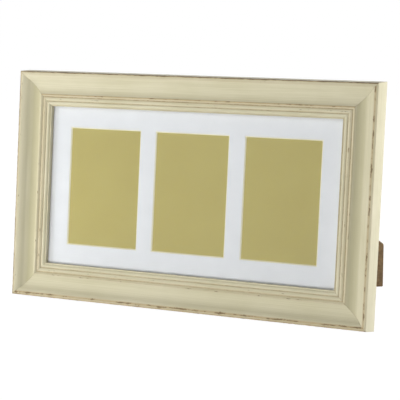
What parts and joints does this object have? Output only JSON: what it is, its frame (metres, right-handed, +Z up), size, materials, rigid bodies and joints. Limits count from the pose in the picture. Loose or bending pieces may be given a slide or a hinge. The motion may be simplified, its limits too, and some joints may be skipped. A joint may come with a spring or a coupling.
{
  "type": "collage photo frame",
  "caption": "Leaning picture frame: cove-and-bead moulding, mat with upright openings behind glass, and a diagonal easel strut that folds flat against the back.",
  "frame": {"origin": "middle of the bottom of the bounding box, on the surface that the frame stands on", "axes": "+X to the right seen from the front, +Y to the back, +Z up; the frame leans back 12.2 degrees on its strut"},
  "size_m": [0.4686, 0.1872, 0.282],
  "materials": {
    "painted_moulding": "cream paint rubbed through to brown wood on arrises and grooves",
    "clear_glass": "clear picture glass",
    "white_mat": "white mat board, matte, weighed as wood fibre",
    "gold_card": "olive gold card, matte, weighed as wood fibre",
    "backing_card": "grey board, weighed as wood fibre",
    "corrugated_card": "corrugated card, weighed as wood fibre",
    "brown_hardboard": "brown hardboard, satin",
    "zinc_steel": "zinc-plated steel",
    "brass": "brass-plated"
  },
  "bodies": {
    "frame": {"rail_bottom": "painted_moulding", "rail_right": "painted_moulding", "rail_top": "painted_moulding", "rail_left": "painted_moulding", "corner_v_nails": "zinc_steel", "glass": "clear_glass", "mat": "white_mat", "photo_card_1": "gold_card", "photo_card_2": "gold_card", "photo_card_3": "gold_card", "backing_card": "backing_card", "corrugated_pad": "corrugated_card", "back_panel": "brown_hardboard", "turn_button_screws": "zinc_steel", "hanger_top_right": "brass", "hanger_top_left": "brass", "hanger_left": "brass", "hanger_nails": "brass", "hinge_fixed_leaf": "zinc_steel", "hinge_pin": "zinc_steel", "fixed_leaf_rivets": "brass"},
    "strut": {"strut": "brown_hardboard", "hinge_moving_leaf": "zinc_steel", "moving_leaf_rivets": "brass"},
    "turn_button_bottom_left": {"turn_button_bottom_left": "zinc_steel"},
    "turn_button_bottom_right": {"turn_button_bottom_right": "zinc_steel"},
    "turn_button_right": {"turn_button_right": "zinc_steel"},
    "turn_button_top_right": {"turn_button_top_right": "zinc_steel"},
    "turn_button_top_left": {"turn_button_top_left": "zinc_steel"},
    "turn_button_left": {"turn_button_left": "zinc_steel"}
  },
  "joints": [
    {"name": "strut_swing", "type": "hinge", "parent": "frame", "child": "strut", "pos_m": [0.0217, -0.0219, 0.2045], "axis": [0.7071, 0.1498, 0.6911], "range_deg": [-32, 0]},
    {"name": "turn_button_bottom_left_turn", "type": "hinge", "parent": "frame", "child": "turn_button_bottom_left", "pos_m": [-0.095, -0.06287, 0.02756], "axis": [0, 0.9773, -0.2119], "range_deg": [-90, 90]},
    {"name": "turn_button_bottom_right_turn", "type": "hinge", "parent": "frame", "child": "turn_button_bottom_right", "pos_m": [0.095, -0.06287, 0.02756], "axis": [0, 0.9773, -0.2119], "range_deg": [-90, 90]},
    {"name": "turn_button_right_turn", "type": "hinge", "parent": "frame", "child": "turn_button_right", "pos_m": [0.2061, -0.03861, 0.13946], "axis": [0, 0.9773, -0.2119], "range_deg": [-90, 90]},
    {"name": "turn_button_top_right_turn", "type": "hinge", "parent": "frame", "child": "turn_button_top_right", "pos_m": [0.095, -0.01435, 0.25136], "axis": [0, 0.9773, -0.2119], "range_deg": [-90, 90]},
    {"name": "turn_button_top_left_turn", "type": "hinge", "parent": "frame", "child": "turn_button_top_left", "pos_m": [-0.095, -0.01435, 0.25136], "axis": [0, 0.9773, -0.2119], "range_deg": [-90, 90]},
    {"name": "turn_button_left_turn", "type": "hinge", "parent": "frame", "child": "turn_button_left", "pos_m": [-0.2061, -0.03861, 0.13946], "axis": [0, 0.9773, -0.2119], "range_deg": [-90, 90]}
  ]
}
